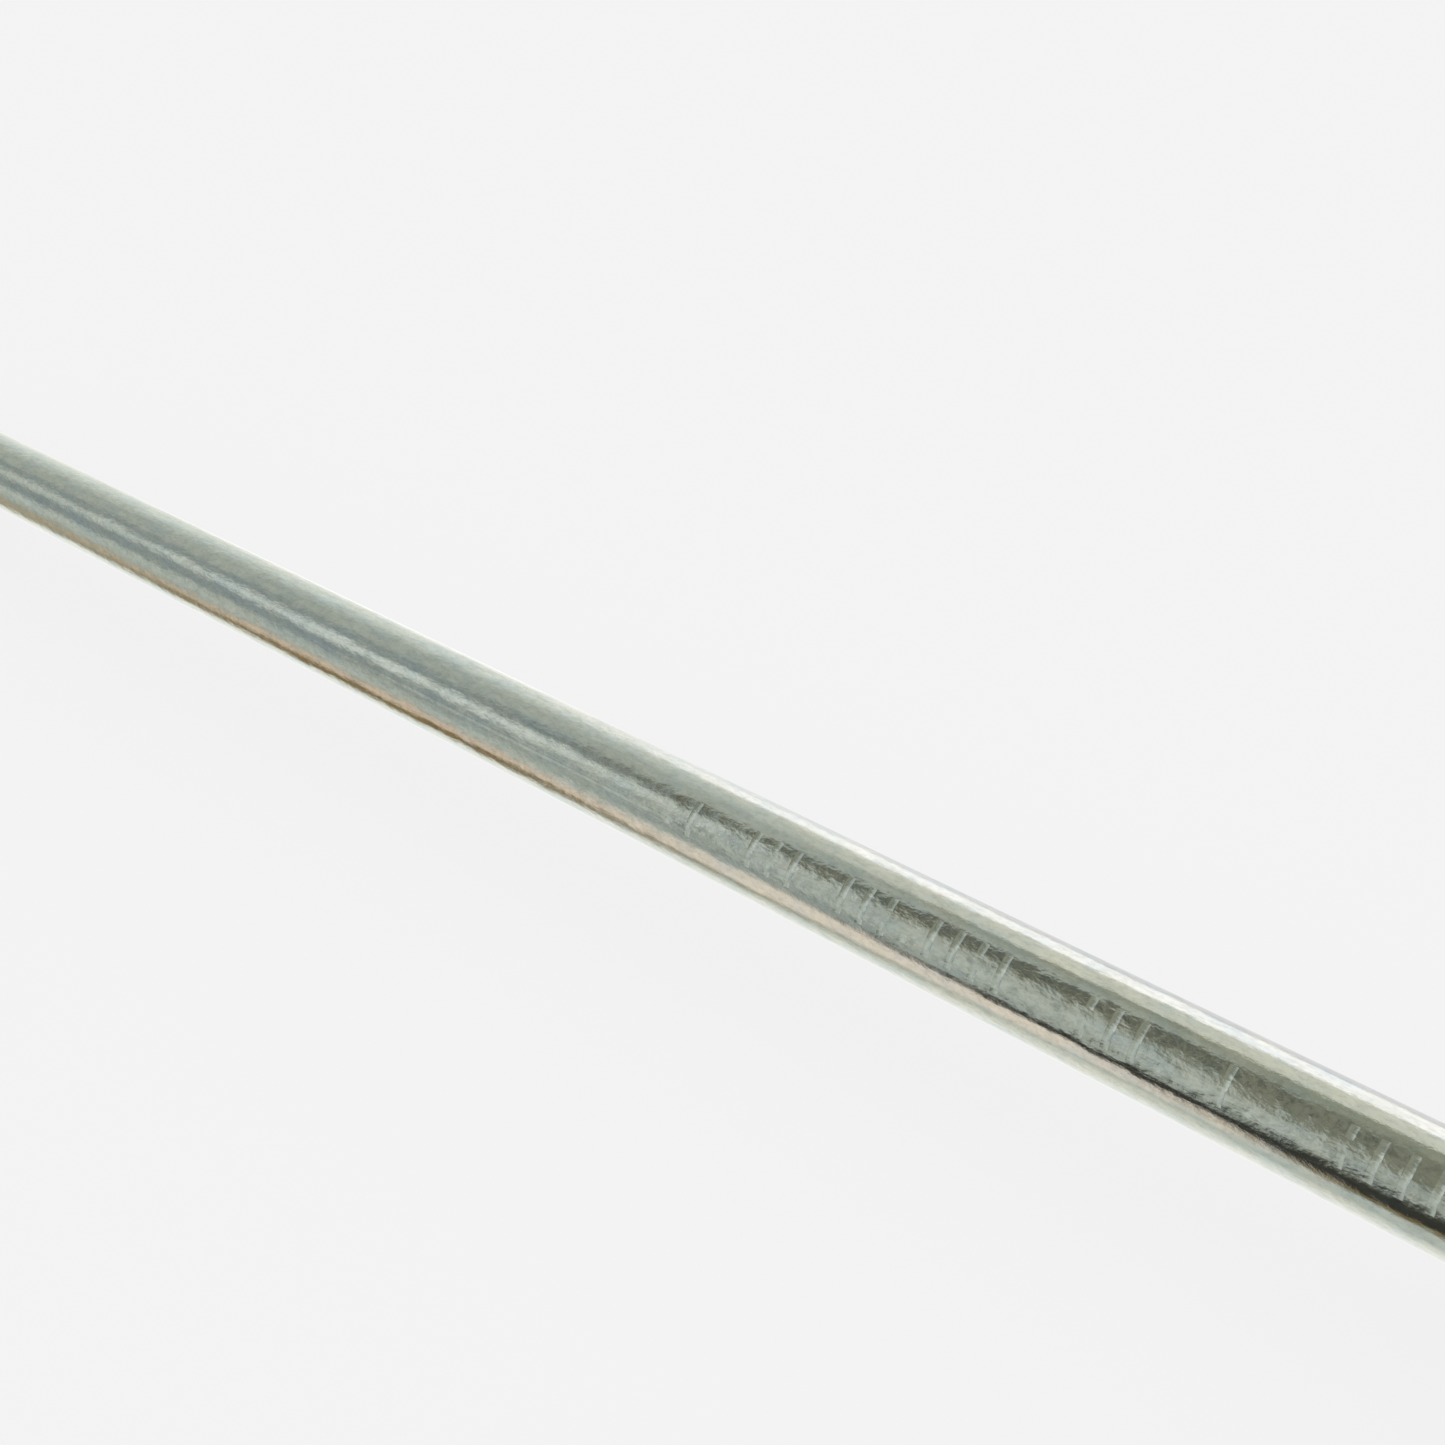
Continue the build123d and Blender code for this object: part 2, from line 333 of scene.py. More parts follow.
# The wear: full before the marks and on their side of the marked stretch, which is pitted as
# well, and weaker on the rest.
marks_start, marks_end = (-14 * MM, -7 * MM), (27 * MM, 34 * MM)
bright_steel, dull_steel = (0.86, 0.84, 0.81), (0.69, 0.71, 0.70)
blue_tint, brown_tint = (0.64, 0.71, 0.79), (0.83, 0.77, 0.70)
speck_grey, pit_grey, stamp_white = (0.48, 0.48, 0.47), (0.42, 0.44, 0.43), (0.96, 0.97, 0.96)
polished, tree, shader, place = new_material("polished steel", 1.0, 0.1)
out = lathe_place(tree, place)[1]
along = node(tree, "SeparateXYZ", {0: place}).outputs[0]
facing = node(
    tree, "VectorMath",
    {0: node(tree, "Mapping", {"Vector": place, "Location": (0, 0, -axis_height)}).outputs[0],
     1: (0, -math.cos(stamp_middle), math.sin(stamp_middle))}, operation="DOT_PRODUCT",
).outputs["Value"]
marked = limits(tree, facing, 0.88 * rod_radius, 0.95 * rod_radius)
marked = maths(tree, "MULTIPLY", marked, limits(tree, along, *marks_start))
marked = maths(tree, "MULTIPLY", marked, limits(tree, along, *marks_end, 1.0, 0.0))
worn = maths(tree, "MAXIMUM", marked, limits(tree, along, -14 * MM, -6 * MM, 1.0, 0.45))
stamped = limits(
    tree, out, rod_radius - 0.4 * stamp_depth, rod_radius - 0.1 * stamp_depth, 1.0, 0.0
)
streaks = noise(tree, place, 140, 9000, detail=3.0)
blotches = noise(tree, place, 1000, 2100, detail=5.0, roughness=0.62)
specks = noise(tree, place, 2800, 5400, detail=4.0, roughness=0.75)
pits = noise(tree, place, 1700, 2800, detail=2.0)
waves = noise(tree, place, 450, 850, detail=2.0)
tint = noise(tree, place, 500, 1500, detail=4.0)
tone = mix(tree, limits(tree, blotches, 0.3, 0.7), bright_steel, dull_steel)
tone = mix(tree, limits(tree, tint, 0.5, 0.75, 0.0, 0.7), tone, blue_tint)
tone = mix(tree, limits(tree, tint, 0.25, 0.5, 0.4, 0.0), tone, brown_tint)
tone = mix(tree, limits(tree, specks, 0.45, 0.72, 0.0, 0.55), tone, speck_grey)
pitted = maths(tree, "MULTIPLY", limits(tree, pits, 0.55, 0.7, 0.0, 0.6), marked)
tone = mix(tree, pitted, tone, pit_grey)
fresh = maths(tree, "MULTIPLY", stamped, limits(tree, specks, 0.3, 0.6, 0.9, 0.5))
tone = mix(tree, fresh, tone, stamp_white)
tree.links.new(tone, shader.inputs["Base Color"])
sheen = limits(tree, streaks, 0.2, 0.8, 0.02, 0.08)
tree.links.new(maths(tree, "MULTIPLY_ADD", stamped, 0.2, sheen), shader.inputs["Roughness"])
bump(tree, shader, streaks, 0.0012 * MM)
bump(tree, shader, specks, 0.002 * MM)
for unevenness, place_worn, height in (
    (blotches, worn, 0.03 * MM), (pits, marked, 0.032 * MM), (waves, worn, 0.045 * MM),
):
    level = maths(tree, "SUBTRACT", unevenness, 0.5)
    bump(tree, shader, maths(tree, "MULTIPLY", level, place_worn), height)
wear(rod, polished)
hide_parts("shaft")
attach(rod, "holder")


# --- Chuck body --------------------------------------------------------------------------
# The fixed half of the chuck, turned from brass and nickel plated. Its neck has the thread for
# the cap, its collar two milled spanner flats. Inside are the collet's tapered seat and a
# clearance hole for the wire, and at the back the hole that is pressed on the rod's spigot.

body_low, body_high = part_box("chuck_body")
neck_radius = 2.5 * MM
collar_radius = body_high.y
collar_front = body_high.x - 5.7 * MM
lead = 0.3 * MM
collet_way = 1.65 * MM
seat_front = body_low.x + 6.4 * MM
seat_back = seat_front + 1.2 * MM
seat_end_radius = 1.05 * MM
wire_way = 0.6 * MM
spigot_front = shaft_low.x
relief_front = collar_front - 0.4 * MM
relief_radius = neck_radius - 0.22 * MM
drill_past = 1 * MM

chuck_body = turned("chuck_body_turned", [
    (body_low.x, neck_radius - lead),
    (body_low.x + lead, neck_radius),
    (collar_front - 0.45 * MM, neck_radius),
    (relief_front, relief_radius),
    (collar_front, relief_radius),
    (collar_front, collar_radius - lead),
    (collar_front + lead, collar_radius),
    (body_high.x - lead, collar_radius),
    (body_high.x, collar_radius - lead),
], facets=128)
cut_thread(chuck_body, body_low.x - 0.4 * MM, collar_front - 0.35 * MM, neck_radius)
cut(chuck_body, turned("way", [
    (body_low.x - drill_past, collet_way),
    (seat_front, collet_way),
    (seat_back, seat_end_radius),
    (seat_back, wire_way),
    (spigot_front, wire_way),
    (spigot_front, small_radius),
    (body_high.x + drill_past, small_radius),
], facets=64))

flat_front = collar_front + 1.0 * MM
flat_back = body_high.x - 1.0 * MM
flat_height = 2.75 * MM
mill_width, mill_height = 8 * MM, 2 * MM
for side in (-1, 1):
    bpy.ops.object.select_all(action="DESELECT")
    bpy.ops.mesh.primitive_cube_add(
        size=1, scale=(flat_back - flat_front, mill_width, mill_height),
        location=((flat_front + flat_back) / 2, 0,
                  axis_height + side * (flat_height + mill_height / 2)),
    )
    mill = bpy.context.object
    bpy.ops.object.transform_apply(location=True, rotation=True, scale=True)
    cut(chuck_body, mill)

pin_low, pin_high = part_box("chuck_pin")
pin_station = (pin_low.x + pin_high.x) / 2
pin_radius = 0.5 * MM
drill_length = 8 * MM
bpy.ops.object.select_all(action="DESELECT")
bpy.ops.mesh.primitive_cylinder_add(
    vertices=32, radius=pin_radius, depth=drill_length,
    location=(pin_station, 0, axis_height), rotation=(math.pi / 2, 0, 0),
)
drill = bpy.context.object
bpy.ops.object.transform_apply(location=True, rotation=True, scale=True)
cut(chuck_body, drill)
smooth(chuck_body, 30)

warm_nickel, dull_nickel = (0.74, 0.70, 0.62), (0.66, 0.63, 0.57)
nickel, tree, shader, place = new_material("nickel plate", 1.0, 0.2)
rings_place = lathe_place(tree, place)[0]
rings = noise(tree, rings_place, 16000, 16000, detail=2.0)
smudge = noise(tree, place, 420, 420, detail=5.0, roughness=0.65)
scratch = noise(tree, place, 900, 14000, detail=2.0)
tree.links.new(mix(tree, smudge, warm_nickel, dull_nickel), shader.inputs["Base Color"])
tree.links.new(limits(tree, smudge, 0.3, 0.75, 0.12, 0.34), shader.inputs["Roughness"])
bump(tree, shader, rings, 0.003 * MM)
bump(tree, shader, scratch, 0.0012 * MM)
wear(chuck_body, nickel)
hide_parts("chuck_body")
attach(chuck_body, "holder")


# --- Cross pin, flat washer, spring washer and nut -----------------------------------------
# Bought steel parts with bright zinc plating. The pin is driven through the collar and the
# spigot. The washers and the nut clamp the grip on the rod's tang, inside the grip's back end.

blue_zinc, grey_zinc, dark_zinc = (0.60, 0.63, 0.68), (0.70, 0.71, 0.70), (0.50, 0.52, 0.55)
zinc, tree, shader, place = new_material("zinc plated steel", 1.0, 0.3)
spangle = node(
    tree, "TexVoronoi", {"Vector": place, "Scale": 3800.0, "Randomness": 1.0}, feature="F1"
).outputs["Color"]
spangle = node(tree, "SeparateColor", {0: spangle}).outputs[0]
haze = noise(tree, place, 1500, 1500, detail=5.0)
bluish = mix(tree, haze, blue_zinc, grey_zinc)
tree.links.new(mix(tree, limits(tree, spangle, 0, 1, 0, 0.25), bluish, dark_zinc),
               shader.inputs["Base Color"])
tree.links.new(limits(tree, haze, 0.3, 0.7, 0.24, 0.42), shader.inputs["Roughness"])
bump(tree, shader, haze, 0.006 * MM)
for name in ("chuck_pin", "rear_washer", "spring_washer", "tang_nut"):
    wear(bpy.data.objects[name], zinc)


# --- Collet ------------------------------------------------------------------------------
# A slim brass sleeve with four jaws, turned, drilled and slit. Its front cone is pressed on the
# wire by the cap, its rim turns freely in the cap's groove, and its tail sits in the body.

clean_brass, brown_brass = (0.80, 0.56, 0.24), (0.56, 0.36, 0.15)
brass, tree, shader, place = new_material("turned brass", 1.0, 0.22)
rings_place = lathe_place(tree, place)[0]
rings = noise(tree, rings_place, 20000, 20000, detail=2.0)
tarnish = noise(tree, place, 700, 700, detail=6.0, roughness=0.65)
tree.links.new(mix(tree, limits(tree, tarnish, 0.35, 0.7), clean_brass, brown_brass),
               shader.inputs["Base Color"])
tree.links.new(limits(tree, tarnish, 0.3, 0.7, 0.18, 0.4), shader.inputs["Roughness"])
bump(tree, shader, rings, 0.004 * MM)
wear(bpy.data.objects["collet"], brass)


# --- Chuck cap ---------------------------------------------------------------------------
# The screw cap that closes the jaws, turned from brass with a tapered nose, knurled in crossed
# diamonds where the fingers hold it, and nickel plated. It is screwed on the body's neck.

cap_low, cap_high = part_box("chuck_cap")
cap_radius = cap_high.y
nose_radius = 1.6 * MM
mouth_bore = 0.8 * MM
recess_radius = cap_radius - 0.2 * MM
rim_way = 1.9 * MM
jaw_way = 1.7 * MM
rim_back = cap_low.x + 3.9 * MM
thread_bore_front = cap_low.x + 4.4 * MM
thread_bore = 2.55 * MM
knurl_front = cap_low.x + 5.1 * MM
knurl_rows = 28
knurl_step = 0.25 * MM
knurl_depth = 0.14 * MM
knurl_back = knurl_front + knurl_rows * knurl_step
cap_facets = 88

cap = turned("chuck_cap_knurled", [
    (cap_low.x, mouth_bore),
    (cap_low.x, nose_radius - edge_break),
    (cap_low.x + 0.05 * MM, nose_radius),
    (cap_low.x + 4.35 * MM, cap_radius - 0.04 * MM),
    (cap_low.x + 4.5 * MM, cap_radius),
    (cap_low.x + 4.75 * MM, cap_radius),
    (cap_low.x + 4.8 * MM, recess_radius),
    (knurl_front - 0.1 * MM, recess_radius),
    (knurl_front, cap_radius - knurl_depth),
] + [
    (knurl_front + row * knurl_step, cap_radius) for row in range(1, knurl_rows)
] + [
    (knurl_back, cap_radius - knurl_depth),
    (knurl_back + 0.1 * MM, recess_radius),
    (cap_high.x - 0.55 * MM, recess_radius),
    (cap_high.x - 0.5 * MM, cap_radius),
    (cap_high.x - 0.3 * MM, cap_radius),
    (cap_high.x, cap_radius - 0.3 * MM),
    (cap_high.x, thread_bore + 0.1 * MM),
    (cap_high.x - 0.1 * MM, thread_bore),
    (thread_bore_front, thread_bore),
    (thread_bore_front, collet_way),
    (rim_back, collet_way),
    (rim_back, rim_way),
    (cap_low.x + 2.6 * MM, rim_way),
    (cap_low.x + 2.6 * MM, jaw_way),
    (cap_low.x + 0.8 * MM, mouth_bore),
], facets=cap_facets, hollow=True)

bpy.ops.object.mode_set(mode="EDIT")
bpy.ops.mesh.select_all(action="DESELECT")
bpy.ops.mesh.select_mode(type="VERT")
bpy.ops.object.mode_set(mode="OBJECT")
knurl_span = range(1, knurl_rows)
for vertex in cap.data.vertices:
    row = round((vertex.co.x - knurl_front) / knurl_step)
    turn = math.atan2(vertex.co.z - axis_height, vertex.co.y)
    column = round(turn / (2 * math.pi) * cap_facets)
    outside = math.hypot(vertex.co.y, vertex.co.z - axis_height) > cap_radius - 0.01 * MM
    vertex.select = outside and row in knurl_span and (row + column) % 2 == 1
bpy.ops.object.mode_set(mode="EDIT")
sink = 1 - knurl_depth / cap_radius
bpy.ops.transform.resize(value=(1, sink, sink), center_override=(0, 0, axis_height))
bpy.ops.mesh.select_all(action="DESELECT")
bpy.ops.mesh.select_mode(type="FACE")
bpy.ops.object.mode_set(mode="OBJECT")
for face in cap.data.polygons:
    face.select = (
        knurl_front - 0.001 * MM < face.center.x < knurl_back + 0.001 * MM
        and math.hypot(face.center.y, face.center.z - axis_height) > 3 * MM
    )
bpy.ops.object.mode_set(mode="EDIT")
bpy.ops.mesh.quads_convert_to_tris(quad_method="SHORTEST_DIAGONAL")
bpy.ops.mesh.select_mode(type="VERT")
bpy.ops.object.mode_set(mode="OBJECT")
smooth(cap, 25)
wear(cap, nickel)
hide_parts("chuck_cap")
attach(cap, "cap")


# --- Wire loop ---------------------------------------------------------------------------
# Half-millimetre resistance wire, bent to a closed ring by hand round a mandrel. The end comes
# back under the stem and is wound three times round it. The ring is dark from flaming, with
# straw, brown and blue tints towards the clean end in the chuck.

wire_low, wire_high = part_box("wire_loop")
wire_radius = 0.25 * MM
ring_radius = 2.25 * MM
ring_centre = wire_low.x + ring_radius + wire_radius
neck_bend = 0.6 * MM
neck_centre = ring_centre + math.sqrt(ring_radius ** 2 + 2 * ring_radius * neck_bend)
ring_start = math.atan2(neck_bend, neck_centre - ring_centre)
ring_end = math.radians(332)
winding_radius = 2 * wire_radius
winding_front = neck_centre - 0.24 * MM
winding_pitch = 0.51 * MM
winding_turns = 3.1
winding_start = -math.pi / 3
neck_steps, ring_steps, crossing_steps, winding_steps = 8, 96, 10, 100
crossing_pull = 0.9 * MM


def ramp(tree, factor, stops):
    """A colour ramp from (place, colour) pairs."""
    made = node(tree, "ValToRGB", {"Fac": factor})
    bar = made.color_ramp.elements
    while len(bar) < len(stops):
        bar.new(1.0)
    for element, (place, colour) in zip(bar, stops):
        element.position = place
        element.color = (*colour, 1)
    return made.outputs["Color"]


def on_ring(angle):
    return Vector((
        ring_centre + ring_radius * math.cos(angle), ring_radius * math.sin(angle), 0
    ))


def on_winding(angle):
    return Vector((
        winding_front + winding_pitch * angle / (2 * math.pi),
        winding_radius * math.sin(angle), -winding_radius * math.cos(angle),
    ))


route = [Vector((wire_high.x, 0, 0)), Vector((neck_centre + 0.5 * MM, 0, 0))]
for step in range(neck_steps + 1):
    angle = (math.pi / 2 - ring_start) * step / neck_steps
    route.append(Vector((
        neck_centre - neck_bend * math.sin(angle), neck_bend - neck_bend * math.cos(angle), 0
    )))
for step in range(1, ring_steps + 1):
    route.append(on_ring(ring_start + (ring_end - ring_start) * step / ring_steps))
leave, arrive = on_ring(ring_end), on_winding(winding_start)
away = Vector((-math.sin(ring_end), math.cos(ring_end), 0)) * crossing_pull
onto = (on_winding(winding_start + 0.01) - arrive).normalized() * crossing_pull
for step in range(1, crossing_steps):
    part = step / crossing_steps
    route.append(
        leave * (2 * part ** 3 - 3 * part ** 2 + 1) + away * (part ** 3 - 2 * part ** 2 + part)
        + arrive * (3 * part ** 2 - 2 * part ** 3) + onto * (part ** 3 - part ** 2)
    )
winding_angle = 2 * math.pi * winding_turns - winding_start
for step in range(winding_steps + 1):
    route.append(on_winding(winding_start + winding_angle * step / winding_steps))

bpy.ops.object.select_all(action="DESELECT")
bpy.ops.curve.primitive_nurbs_path_add(location=(0, 0, axis_height))
wire = bpy.context.object
wire.name = "wire_loop_wound"
line = wire.data.splines[0]
line.points.add(len(route) - len(line.points))
for point, spot in zip(line.points, route):
    point.co = (*spot, 1)
line.order_u = 3
line.use_endpoint_u = True
wire.data.resolution_u = 2
wire.data.bevel_depth = wire_radius
wire.data.bevel_resolution = 3
wire.data.use_fill_caps = True
bpy.ops.object.transform_apply(location=True, rotation=True, scale=True)
bpy.ops.object.convert(target="MESH")
bpy.ops.object.mode_set(mode="EDIT")
bpy.ops.mesh.select_all(action="SELECT")
bpy.ops.mesh.remove_doubles(threshold=1e-7)
bpy.ops.mesh.normals_make_consistent(inside=False)
bpy.ops.object.mode_set(mode="OBJECT")
smooth(wire, 50)

scale_black = (0.05, 0.045, 0.045)
nichrome, tree, shader, place = new_material("nichrome", 1.0, 0.3)
along = node(tree, "SeparateXYZ", {0: place}).outputs[0]
drift = noise(tree, place, 300, 900, detail=4.0)
along = maths(tree, "ADD", along, maths(tree, "MULTIPLY", drift, 6 * MM))
heated = ramp(tree, limits(tree, along, wire_low.x, wire_high.x), [
    (0.0, (0.11, 0.10, 0.10)), (0.16, (0.14, 0.14, 0.16)), (0.28, (0.16, 0.18, 0.25)),
    (0.38, (0.24, 0.20, 0.24)), (0.46, (0.42, 0.29, 0.17)), (0.56, (0.54, 0.45, 0.31)),
    (0.68, (0.60, 0.57, 0.51)), (1.0, (0.62, 0.60, 0.56)),
])
scale = noise(tree, place, 5200, 5200, detail=5.0)
tree.links.new(mix(tree, limits(tree, scale, 0.5, 0.75, 0, 0.3), heated, scale_black),
               shader.inputs["Base Color"])
tree.links.new(limits(tree, along, wire_low.x, wire_low.x + 45 * MM, 0.52, 0.24),
               shader.inputs["Roughness"])
bump(tree, shader, scale, 0.008 * MM)
bump(tree, shader, noise(tree, place, 400, 16000, detail=2.0), 0.002 * MM)
wear(wire, nichrome)
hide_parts("wire_loop")
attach(wire, "wire")


# --- Front ferrule -----------------------------------------------------------------------
# A flared cap between the rod and the grip, turned from brass and nickel plated, with one
# groove near its back. It is threaded over the tang and butts against the rod's shoulder.

ferrule_low, ferrule_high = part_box("front_ferrule")
ferrule_radius = ferrule_high.y
mouth_radius = 2.9 * MM
flare_length = 6.5 * MM
groove_front, groove_back = ferrule_low.x + 7.6 * MM, ferrule_low.x + 8.4 * MM
groove_depth = 0.35 * MM
round_off = 0.1 * MM
bore_gap = 0.02 * MM


def eased(start, end, start_slope, end_slope, steps):
    """Points of a smooth outline from one (station, radius) to another, with the directions
    that it leaves and arrives in."""
    points = []
    for step in range(1, steps + 1):
        part = step / steps
        points.append(tuple(
            a * (2 * part ** 3 - 3 * part ** 2 + 1) + u * (part ** 3 - 2 * part ** 2 + part)
            + b * (3 * part ** 2 - 2 * part ** 3) + v * (part ** 3 - part ** 2)
            for a, b, u, v in zip(start, end, start_slope, end_slope)
        ))
    return points


ferrule = turned("front_ferrule_turned", [
    (ferrule_low.x, rod_radius + bore_gap),
    (ferrule_low.x, mouth_radius - 1.5 * round_off),
    (ferrule_low.x + 0.4 * round_off, mouth_radius - 0.5 * round_off),
    (ferrule_low.x + 1.5 * round_off, mouth_radius),
] + eased(
    (ferrule_low.x + 1.5 * round_off, mouth_radius),
    (ferrule_low.x + flare_length, ferrule_radius),
    (6.8 * MM, 1.0 * MM), (6.8 * MM, 0), 20,
) + [
    (groove_front - round_off, ferrule_radius),
    (groove_front, ferrule_radius - round_off),
    (groove_front + round_off, ferrule_radius - groove_depth),
    (groove_back - round_off, ferrule_radius - groove_depth),
    (groove_back, ferrule_radius - round_off),
    (groove_back + round_off, ferrule_radius),
    (ferrule_high.x - round_off, ferrule_radius),
    (ferrule_high.x, ferrule_radius - round_off),
    (ferrule_high.x, tang_radius + bore_gap),
    (shoulder, tang_radius + bore_gap),
    (shoulder, rod_radius + bore_gap),
], facets=128, hollow=True)
smooth(ferrule, 30)
wear(ferrule, nickel)
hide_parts("front_ferrule")
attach(ferrule, "holder")


# --- Fibre washer ------------------------------------------------------------------------
# A washer of red vulcanised fibre, punched from sheet. It sits on the tang between the ferrule
# and the grip, and is clamped there by the nut, so that the rod's heat stays out of the grip.

fibre_low, fibre_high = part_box("front_washer")
tang_bore = 1.8 * MM
fibre_washer = turned("front_washer_punched", [
    (fibre_low.x, tang_bore),
    (fibre_low.x, fibre_high.y - 0.12 * MM),
    (fibre_low.x + 0.1 * MM, fibre_high.y - 0.02 * MM),
    (fibre_low.x + 0.3 * MM, fibre_high.y),
    (fibre_high.x - 0.2 * MM, fibre_high.y - 0.01 * MM),
    (fibre_high.x - 0.05 * MM, fibre_high.y - 0.05 * MM),
    (fibre_high.x, fibre_high.y - 0.12 * MM),
    (fibre_high.x, tang_bore),
], facets=128, hollow=True)
smooth(fibre_washer, 40)

light_red, dark_red, fluff_red = (0.30, 0.030, 0.014), (0.17, 0.018, 0.010), (0.36, 0.07, 0.035)
fibre, tree, shader, place = new_material("red vulcanised fibre", 0.0, 0.6)
layers = noise(tree, place, 14000, 260, detail=3.0)
mottle = noise(tree, place, 1800, 1800, detail=6.0, roughness=0.7)
red = mix(tree, limits(tree, layers, 0.3, 0.7), light_red, dark_red)
tree.links.new(mix(tree, limits(tree, mottle, 0.45, 0.8, 0, 0.5), red, fluff_red),
               shader.inputs["Base Color"])
tree.links.new(limits(tree, mottle, 0.3, 0.7, 0.5, 0.72), shader.inputs["Roughness"])
bump(tree, shader, layers, 0.012 * MM)
bump(tree, shader, mottle, 0.01 * MM)
wear(fibre_washer, fibre)
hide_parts("front_washer")
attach(fibre_washer, "holder")


# --- Grip --------------------------------------------------------------------------------
# A six-sided bar of black phenolic resin, moulded and then turned: coned at both ends, with six
# finger grooves near the front, a bore for the tang and a counterbore for the nut. It is
# clamped on the tang. Its six corners are rubbed grey and brown by use.

grip_low, grip_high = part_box("grip_sleeve")
corner_radius = grip_high.y
cone_length = 1.6 * MM
cone_radius = 4.75 * MM
groove_count = 6
groove_step = 4.0 * MM
first_groove = grip_low.x + 9.0 * MM
groove_floor = 4.3 * MM
groove_half_width = 0.8 * MM
groove_facets = 12
corner_bevel, cut_bevel = 0.22 * MM, 0.09 * MM
counterbore_radius = 3.5 * MM

grip = turned("grip_moulded", [
    (grip_low.x, corner_radius), (grip_high.x, corner_radius),
], facets=6)
bpy.ops.object.mode_set(mode="EDIT")
bpy.ops.mesh.select_all(action="DESELECT")
bpy.ops.mesh.select_mode(type="EDGE")
bpy.ops.object.mode_set(mode="OBJECT")
for edge in grip.data.edges:
    ends = [grip.data.vertices[number].co.x for number in edge.vertices]
    edge.select = abs(ends[0] - ends[1]) > 1 * MM
bpy.ops.object.mode_set(mode="EDIT")
bpy.ops.mesh.bevel(offset=corner_bevel, segments=4, affect="EDGES")
bpy.ops.mesh.select_mode(type="VERT")
bpy.ops.object.mode_set(mode="OBJECT")

outside = corner_radius + 0.03 * MM
past_end = 0.01 * MM
profile = [
    (grip_low.x - past_end, cone_radius - past_end), (grip_low.x + cone_length, outside),
]
for number in range(groove_count):
    middle = first_groove + number * groove_step
    for step in range(groove_facets + 1):
        angle = math.pi * step / groove_facets
        profile.append((
            middle - groove_half_width * math.cos(angle),
            outside - (outside - groove_floor) * math.sin(angle),
        ))
profile += [
    (grip_high.x - cone_length, outside), (grip_high.x + past_end, cone_radius - past_end),
]
cut(grip, turned("lathe_work", profile, facets=192), operation="INTERSECT")
counterbore_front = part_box("rear_washer")[0].x
cut(grip, turned("bore", [
    (grip_low.x - drill_past, tang_bore),
    (counterbore_front, tang_bore),
    (counterbore_front, counterbore_radius),
    (grip_high.x + drill_past, counterbore_radius),
], facets=64))
modify(grip, "BEVEL", width=cut_bevel, segments=2, limit_method="ANGLE",
       angle_limit=math.radians(28), use_clamp_overlap=True, harden_normals=False)
smooth(grip, 32)

deep_black, soft_black = (0.010, 0.009, 0.009), (0.022, 0.019, 0.017)
speck_brown, rubbed_brown = (0.05, 0.042, 0.034), (0.085, 0.068, 0.052)
phenolic, tree, shader, place = new_material("black phenolic", 0.0, 0.34, (0.014, 0.013, 0.012))
out = lathe_place(tree, place)[1]
flow = noise(tree, place, 90, 600, detail=5.0, roughness=0.6)
specks = noise(tree, place, 6500, 6500, detail=3.0)
scuffs = noise(tree, place, 350, 5200, detail=4.0, roughness=0.7)
rubbed = maths(tree, "MULTIPLY", limits(tree, out, 5.45 * MM, 5.72 * MM),
               limits(tree, scuffs, 0.35, 0.65))
body_colour = mix(tree, flow, deep_black, soft_black)
body_colour = mix(tree, limits(tree, specks, 0.62, 0.78, 0, 0.5), body_colour, speck_brown)
tree.links.new(mix(tree, maths(tree, "MULTIPLY", rubbed, 0.7), body_colour, rubbed_brown),
               shader.inputs["Base Color"])
tree.links.new(maths(tree, "ADD", limits(tree, flow, 0.3, 0.7, 0.26, 0.4),
                     maths(tree, "MULTIPLY", rubbed, 0.2)), shader.inputs["Roughness"])
bump(tree, shader, specks, 0.004 * MM)
bump(tree, shader, scuffs, 0.006 * MM)
bump(tree, shader, noise(tree, place, 60, 260, detail=2.0), 0.04 * MM)
wear(grip, phenolic)
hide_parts("grip_sleeve")
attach(grip, "holder")


# --- End cap -----------------------------------------------------------------------------
# A domed metal plug that covers the nut, turned from brass and nickel plated. Its straight part
# also stands the tool in a rack, and its plug is pressed into the grip's counterbore.

end_low, end_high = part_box("end_cap")
plug_radius = counterbore_radius
plug_lead, head_lead = 0.4 * MM, 0.3 * MM
head_radius = end_high.y
head_straight = end_high.x - 2.5 * MM
land_radius = 1.7 * MM
dome_pull = 4.0 * MM
end_cap = turned("end_cap_domed", [
    (end_low.x, plug_radius - plug_lead),
    (end_low.x + plug_lead, plug_radius),
    (grip_high.x, plug_radius),
    (grip_high.x, head_radius - head_lead),
    (grip_high.x + head_lead, head_radius),
    (head_straight, head_radius),
] + eased(
    (head_straight, head_radius), (end_high.x, land_radius), (dome_pull, 0), (0, -dome_pull), 24,
), facets=128)
smooth(end_cap, 30)
wear(end_cap, nickel)
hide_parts("end_cap")
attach(end_cap, "holder")


# --- Studio ------------------------------------------------------------------------------
# A pale table and plain, even light. What polished metal mirrors is not plain: only mirror
# reflections see five striped walls, whose bands are listed, and they don't see the table.

floor_size = 8.0
bpy.ops.object.select_all(action="DESELECT")
bpy.ops.mesh.primitive_plane_add(size=floor_size, location=(0, 0, 0))
floor = bpy.context.object
floor.name = "floor"
floor.visible_glossy = False
table_grey, table_glow = (0.11, 0.11, 0.11), (0.79, 0.79, 0.79, 1)
pale, tree, shader, place = new_material("pale table", 0.0, 0.9, table_grey)
shader.inputs["Specular IOR Level"].default_value = 0.0
shader.inputs["Emission Color"].default_value = table_glow
shader.inputs["Emission Strength"].default_value = 1.0
pale.cycles.emission_sampling = "NONE"
wear(floor, pale)

